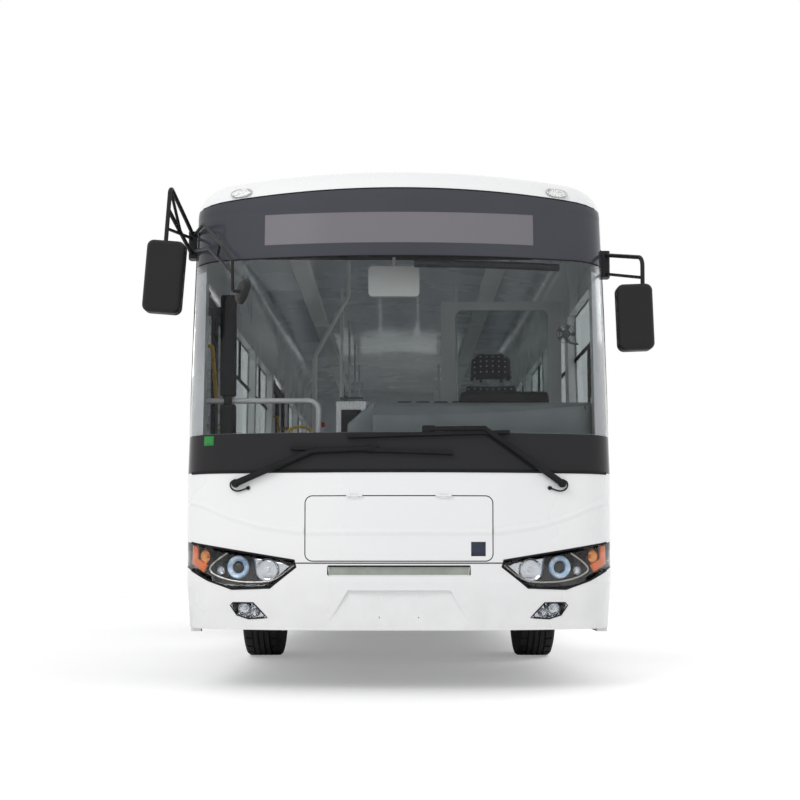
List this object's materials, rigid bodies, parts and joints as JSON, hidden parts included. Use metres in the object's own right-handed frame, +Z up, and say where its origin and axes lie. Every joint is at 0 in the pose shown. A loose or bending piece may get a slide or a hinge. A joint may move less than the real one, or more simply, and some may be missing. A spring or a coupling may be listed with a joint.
{
  "type": "electric city bus",
  "caption": "Single-deck electric city bus with a hollow cabin, folding passenger doors, steered front wheels, twin rear wheels and opening service hatches.",
  "frame": {"origin": "on the ground under the middle of the bounding box", "axes": "+Z up, the front faces -Y, +X is the driver's side and the passenger doors are on -X"},
  "size_m": [2.8795, 10.7919, 3.225],
  "materials": {
    "white_paint": "gloss",
    "dark_steel": "matte",
    "cabin_floor": "matte",
    "cabin_trim": "matte",
    "dash_trim": "matte",
    "black_trim": "matte",
    "tinted_glass": "gloss",
    "header_black": "gloss",
    "lamp_lens": "gloss",
    "red_lens": "gloss",
    "seat_cloth": "matte",
    "seat_shell": "satin",
    "rail_yellow": "gloss",
    "tyre": "matte",
    "rim_steel": "satin",
    "cast": "matte",
    "spring_rubber": "matte",
    "sign": "gloss",
    "battery": "matte"
  },
  "bodies": {
    "bus": {"underframe": "dark_steel", "floor": "cabin_floor", "wheel_boxes": "cabin_floor", "step_wells": "cabin_floor", "left_wall": "white_paint", "right_wall": "white_paint", "skirts": "white_paint", "roof": "white_paint", "front_mask": "white_paint", "front_bumper": "white_paint", "front_header": "white_paint", "rear_wall": "white_paint", "windscreen": "tinted_glass", "header_glass": "header_black", "windows": "tinted_glass", "front_lamps": "lamp_lens", "rear_lamps": "red_lens", "wipers": "black_trim", "mirrors": "black_trim", "destination_sign": "sign", "dashboard": "dash_trim", "driver_seat": "seat_cloth", "driver_partition": "cabin_trim", "fare_box": "cabin_trim", "seat_cushions": "seat_cloth", "seat_backs": "seat_shell", "grab_rails": "rail_yellow", "front_axle": "cast", "rear_axle": "cast", "air_springs": "spring_rubber", "battery_packs": "battery", "drive_motor": "cast", "roof_units": "white_paint"},
    "left_hub_carrier": {"left_knuckle": "cast"},
    "right_hub_carrier": {"right_knuckle": "cast"},
    "front_left_wheel": {"front_left_tyre": "tyre", "front_left_rim": "rim_steel"},
    "front_right_wheel": {"front_right_tyre": "tyre", "front_right_rim": "rim_steel"},
    "rear_left_wheel": {"rear_left_tyres": "tyre", "rear_left_rim": "rim_steel"},
    "rear_right_wheel": {"rear_right_tyres": "tyre", "rear_right_rim": "rim_steel"},
    "hand_wheel": {"steering_wheel": "black_trim"},
    "hatch": {"front_hatch": "white_paint"},
    "rear_lid": {"motor_door": "white_paint"},
    "front_door_fore_arm": {"front_door_fore_post": "dark_steel"},
    "front_door_fore_panel": {"front_door_fore_leaf": "white_paint", "front_door_fore_glass": "tinted_glass"},
    "front_door_aft_arm": {"front_door_aft_post": "dark_steel"},
    "front_door_aft_panel": {"front_door_aft_leaf": "white_paint", "front_door_aft_glass": "tinted_glass"},
    "middle_door_fore_arm": {"middle_door_fore_post": "dark_steel"},
    "middle_door_fore_panel": {"middle_door_fore_leaf": "white_paint", "middle_door_fore_glass": "tinted_glass"},
    "middle_door_aft_arm": {"middle_door_aft_post": "dark_steel"},
    "middle_door_aft_panel": {"middle_door_aft_leaf": "white_paint", "middle_door_aft_glass": "tinted_glass"}
  },
  "joints": [
    {"name": "left_steer", "type": "hinge", "parent": "bus", "child": "left_hub_carrier", "pos_m": [0.905, -2.525, 0.4785], "axis": [0, 0, 1], "range_deg": [-40, 40]},
    {"name": "right_steer", "type": "hinge", "parent": "bus", "child": "right_hub_carrier", "pos_m": [-0.905, -2.525, 0.4785], "axis": [0, 0, 1], "range_deg": [-40, 40]},
    {"name": "steering_wheel_turn", "type": "hinge", "parent": "bus", "child": "hand_wheel", "pos_m": [0.64, -4.295, 1.64], "axis": [0, 0.4695, 0.8829], "range_deg": [-890, 890]},
    {"name": "front_left_spin", "type": "hinge", "parent": "left_hub_carrier", "child": "front_left_wheel", "pos_m": [1.01, -2.525, 0.4785], "axis": [1, 0, 0], "continuous": true},
    {"name": "front_right_spin", "type": "hinge", "parent": "right_hub_carrier", "child": "front_right_wheel", "pos_m": [-1.01, -2.525, 0.4785], "axis": [1, 0, 0], "continuous": true},
    {"name": "rear_left_spin", "type": "hinge", "parent": "bus", "child": "rear_left_wheel", "pos_m": [0.93, 2.475, 0.4785], "axis": [1, 0, 0], "continuous": true},
    {"name": "rear_right_spin", "type": "hinge", "parent": "bus", "child": "rear_right_wheel", "pos_m": [-0.93, 2.475, 0.4785], "axis": [1, 0, 0], "continuous": true},
    {"name": "front_hatch_lift", "type": "hinge", "parent": "bus", "child": "hatch", "pos_m": [0, -5.098, 1.105], "axis": [-1, 0, 0], "range_deg": [0, 75]},
    {"name": "motor_door_lift", "type": "hinge", "parent": "bus", "child": "rear_lid", "pos_m": [0, 5.402, 1.177], "axis": [1, 0, 0], "range_deg": [0, 80]},
    {"name": "front_door_swing", "type": "hinge", "parent": "bus", "child": "front_door_fore_arm", "pos_m": [-1.206, -4.59, 1.4], "axis": [0, 0, -1], "range_deg": [0, 90]},
    {"name": "front_door_aft_swing", "type": "hinge", "parent": "bus", "child": "front_door_aft_arm", "pos_m": [-1.206, -3.39, 1.4], "axis": [0, 0, 1], "range_deg": [0, 90]},
    {"name": "front_door_fore_fold", "type": "hinge", "parent": "front_door_fore_arm", "child": "front_door_fore_panel", "pos_m": [-1.206, -4.275, 1.4], "axis": [0, 0, 1], "range_deg": [0, 180]},
    {"name": "front_door_aft_fold", "type": "hinge", "parent": "front_door_aft_arm", "child": "front_door_aft_panel", "pos_m": [-1.206, -3.705, 1.4], "axis": [0, 0, -1], "range_deg": [0, 180]},
    {"name": "middle_door_swing", "type": "hinge", "parent": "bus", "child": "middle_door_fore_arm", "pos_m": [-1.206, -0.44, 1.4], "axis": [0, 0, -1], "range_deg": [0, 90]},
    {"name": "middle_door_aft_swing", "type": "hinge", "parent": "bus", "child": "middle_door_aft_arm", "pos_m": [-1.206, 0.87, 1.4], "axis": [0, 0, 1], "range_deg": [0, 90]},
    {"name": "middle_door_fore_fold", "type": "hinge", "parent": "middle_door_fore_arm", "child": "middle_door_fore_panel", "pos_m": [-1.206, -0.0975, 1.4], "axis": [0, 0, 1], "range_deg": [0, 180]},
    {"name": "middle_door_aft_fold", "type": "hinge", "parent": "middle_door_aft_arm", "child": "middle_door_aft_panel", "pos_m": [-1.206, 0.5275, 1.4], "axis": [0, 0, -1], "range_deg": [0, 180]}
  ],
  "couplings": [
    {"joint": "right_steer", "follows": "left_steer", "ratio": 1},
    {"joint": "steering_wheel_turn", "follows": "left_steer", "ratio": 22},
    {"joint": "front_door_aft_swing", "follows": "front_door_swing", "ratio": 1},
    {"joint": "front_door_fore_fold", "follows": "front_door_swing", "ratio": 2},
    {"joint": "front_door_aft_fold", "follows": "front_door_swing", "ratio": 2},
    {"joint": "middle_door_aft_swing", "follows": "middle_door_swing", "ratio": 1},
    {"joint": "middle_door_fore_fold", "follows": "middle_door_swing", "ratio": 2},
    {"joint": "middle_door_aft_fold", "follows": "middle_door_swing", "ratio": 2}
  ]
}
